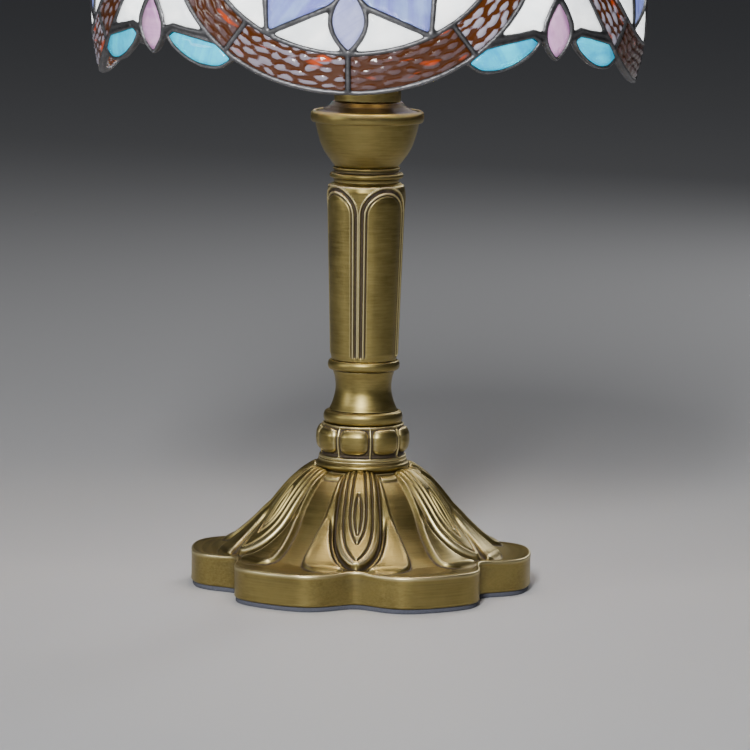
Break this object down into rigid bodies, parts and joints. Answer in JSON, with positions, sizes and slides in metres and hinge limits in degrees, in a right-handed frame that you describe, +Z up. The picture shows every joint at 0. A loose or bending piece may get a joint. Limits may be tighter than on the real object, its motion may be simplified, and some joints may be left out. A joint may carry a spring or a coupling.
{
  "type": "table lamp",
  "caption": "Small table lamp: cast brass foot and column, rotary lamp socket, harp, and a leaded-glass dome shade with star medallions held by a finial.",
  "frame": {"origin": "on the table under the middle of the foot", "axes": "+Z up along the lamp's axis, -Y towards the front, where the switch knob is"},
  "size_m": [0.2042, 0.2042, 0.346],
  "materials": {
    "antique_brass": "antique brass plating, brushed highlights over dark recesses",
    "bright_brass": "lacquered pressed brass",
    "zinc_steel": "zinc plated",
    "ballast_iron": "rough cast",
    "felt": "blue-grey felt",
    "black_plastic": "moulded",
    "phenolic": "moulded insulator",
    "fibre_liner": "insulating fibre",
    "spindle_steel": "drawn rod",
    "cap_alloy": "rolled thread",
    "frosted_glass": "frosted envelope",
    "clear_glass": "clear",
    "ripple_amber": "rippled brown and lilac streaked art glass",
    "pale_lavender": "opalescent art glass",
    "blue_lavender": "streaky opalescent art glass",
    "opal_white": "opal art glass",
    "jewel_rose": "pressed glass jewel",
    "mauve_pink": "opalescent art glass",
    "turquoise": "opalescent art glass",
    "solder": "patinated solder"
  },
  "bodies": {
    "base": {"foot_casting": "antique_brass", "felt_pad": "felt", "weight_plate": "ballast_iron", "cord_bushing": "black_plastic", "threaded_pipe": "zinc_steel", "base_nut": "zinc_steel", "base_washer": "zinc_steel", "foot_collar": "antique_brass", "gadroon_knop": "antique_brass", "knop_ring": "antique_brass", "column_waist": "antique_brass", "shaft_foot_ring": "antique_brass", "column_shaft": "antique_brass", "capital_rings": "antique_brass", "bowl_cup": "antique_brass", "bowl_rim": "antique_brass", "bowl_cover": "antique_brass", "socket_husk": "antique_brass", "harp_saddle": "zinc_steel", "socket_cap": "bright_brass", "socket_shell": "bright_brass", "socket_liner": "fibre_liner", "switch_block": "phenolic", "screw_shell": "cap_alloy", "centre_contact": "bright_brass"},
    "switch": {"switch_spindle": "spindle_steel", "switch_knob": "black_plastic"},
    "bulb": {"bulb_glass": "frosted_glass", "bulb_screw_base": "cap_alloy", "bulb_contact": "cap_alloy", "bulb_stem": "clear_glass", "bulb_filament": "spindle_steel"},
    "harp": {"harp_loop": "bright_brass", "harp_stud": "bright_brass"},
    "sleeve_left": {"sleeve_left": "bright_brass"},
    "sleeve_right": {"sleeve_right": "bright_brass"},
    "seat": {"seat_washer": "bright_brass"},
    "shade": {"vase_cap": "antique_brass", "ring_glass": "ripple_amber", "star_petals": "pale_lavender", "star_kites": "blue_lavender", "star_corners": "opal_white", "star_jewels": "jewel_rose", "fleur_petals": "mauve_pink", "fleur_leaves": "turquoise", "fleur_fields": "opal_white", "shoulder_drops": "blue_lavender", "shoulder_fields": "opal_white", "crown_glass": "ripple_amber", "solder_lattice": "solder"},
    "finial": {"finial": "antique_brass"}
  },
  "joints": [
    {"name": "switch_turn", "type": "hinge", "parent": "base", "child": "switch", "pos_m": [0, -0.037, 0.214], "axis": [0, -1, 0], "continuous": true},
    {"name": "bulb_turn", "type": "hinge", "parent": "base", "child": "bulb", "pos_m": [0, 0, 0.23], "axis": [0, 0, 1], "range_deg": [0, 1080]},
    {"name": "harp_lift", "type": "slide", "parent": "base", "child": "harp", "axis": [0, 0, 1], "range_m": [0, 0.025]},
    {"name": "sleeve_left_slide", "type": "slide", "parent": "harp", "child": "sleeve_left", "axis": [0, 0, 1], "range_m": [0, 0.01]},
    {"name": "sleeve_right_slide", "type": "slide", "parent": "harp", "child": "sleeve_right", "axis": [0, 0, 1], "range_m": [0, 0.01]},
    {"name": "shade_lift", "type": "slide", "parent": "harp", "child": "seat", "axis": [0, 0, 1], "range_m": [0, 0.08]},
    {"name": "shade_spin", "type": "hinge", "parent": "seat", "child": "shade", "pos_m": [0, 0, 0.3125], "axis": [0, 0, 1], "continuous": true},
    {"name": "finial_turn", "type": "hinge", "parent": "shade", "child": "finial", "pos_m": [0, 0, 0.32], "axis": [0, 0, 1], "continuous": true}
  ]
}
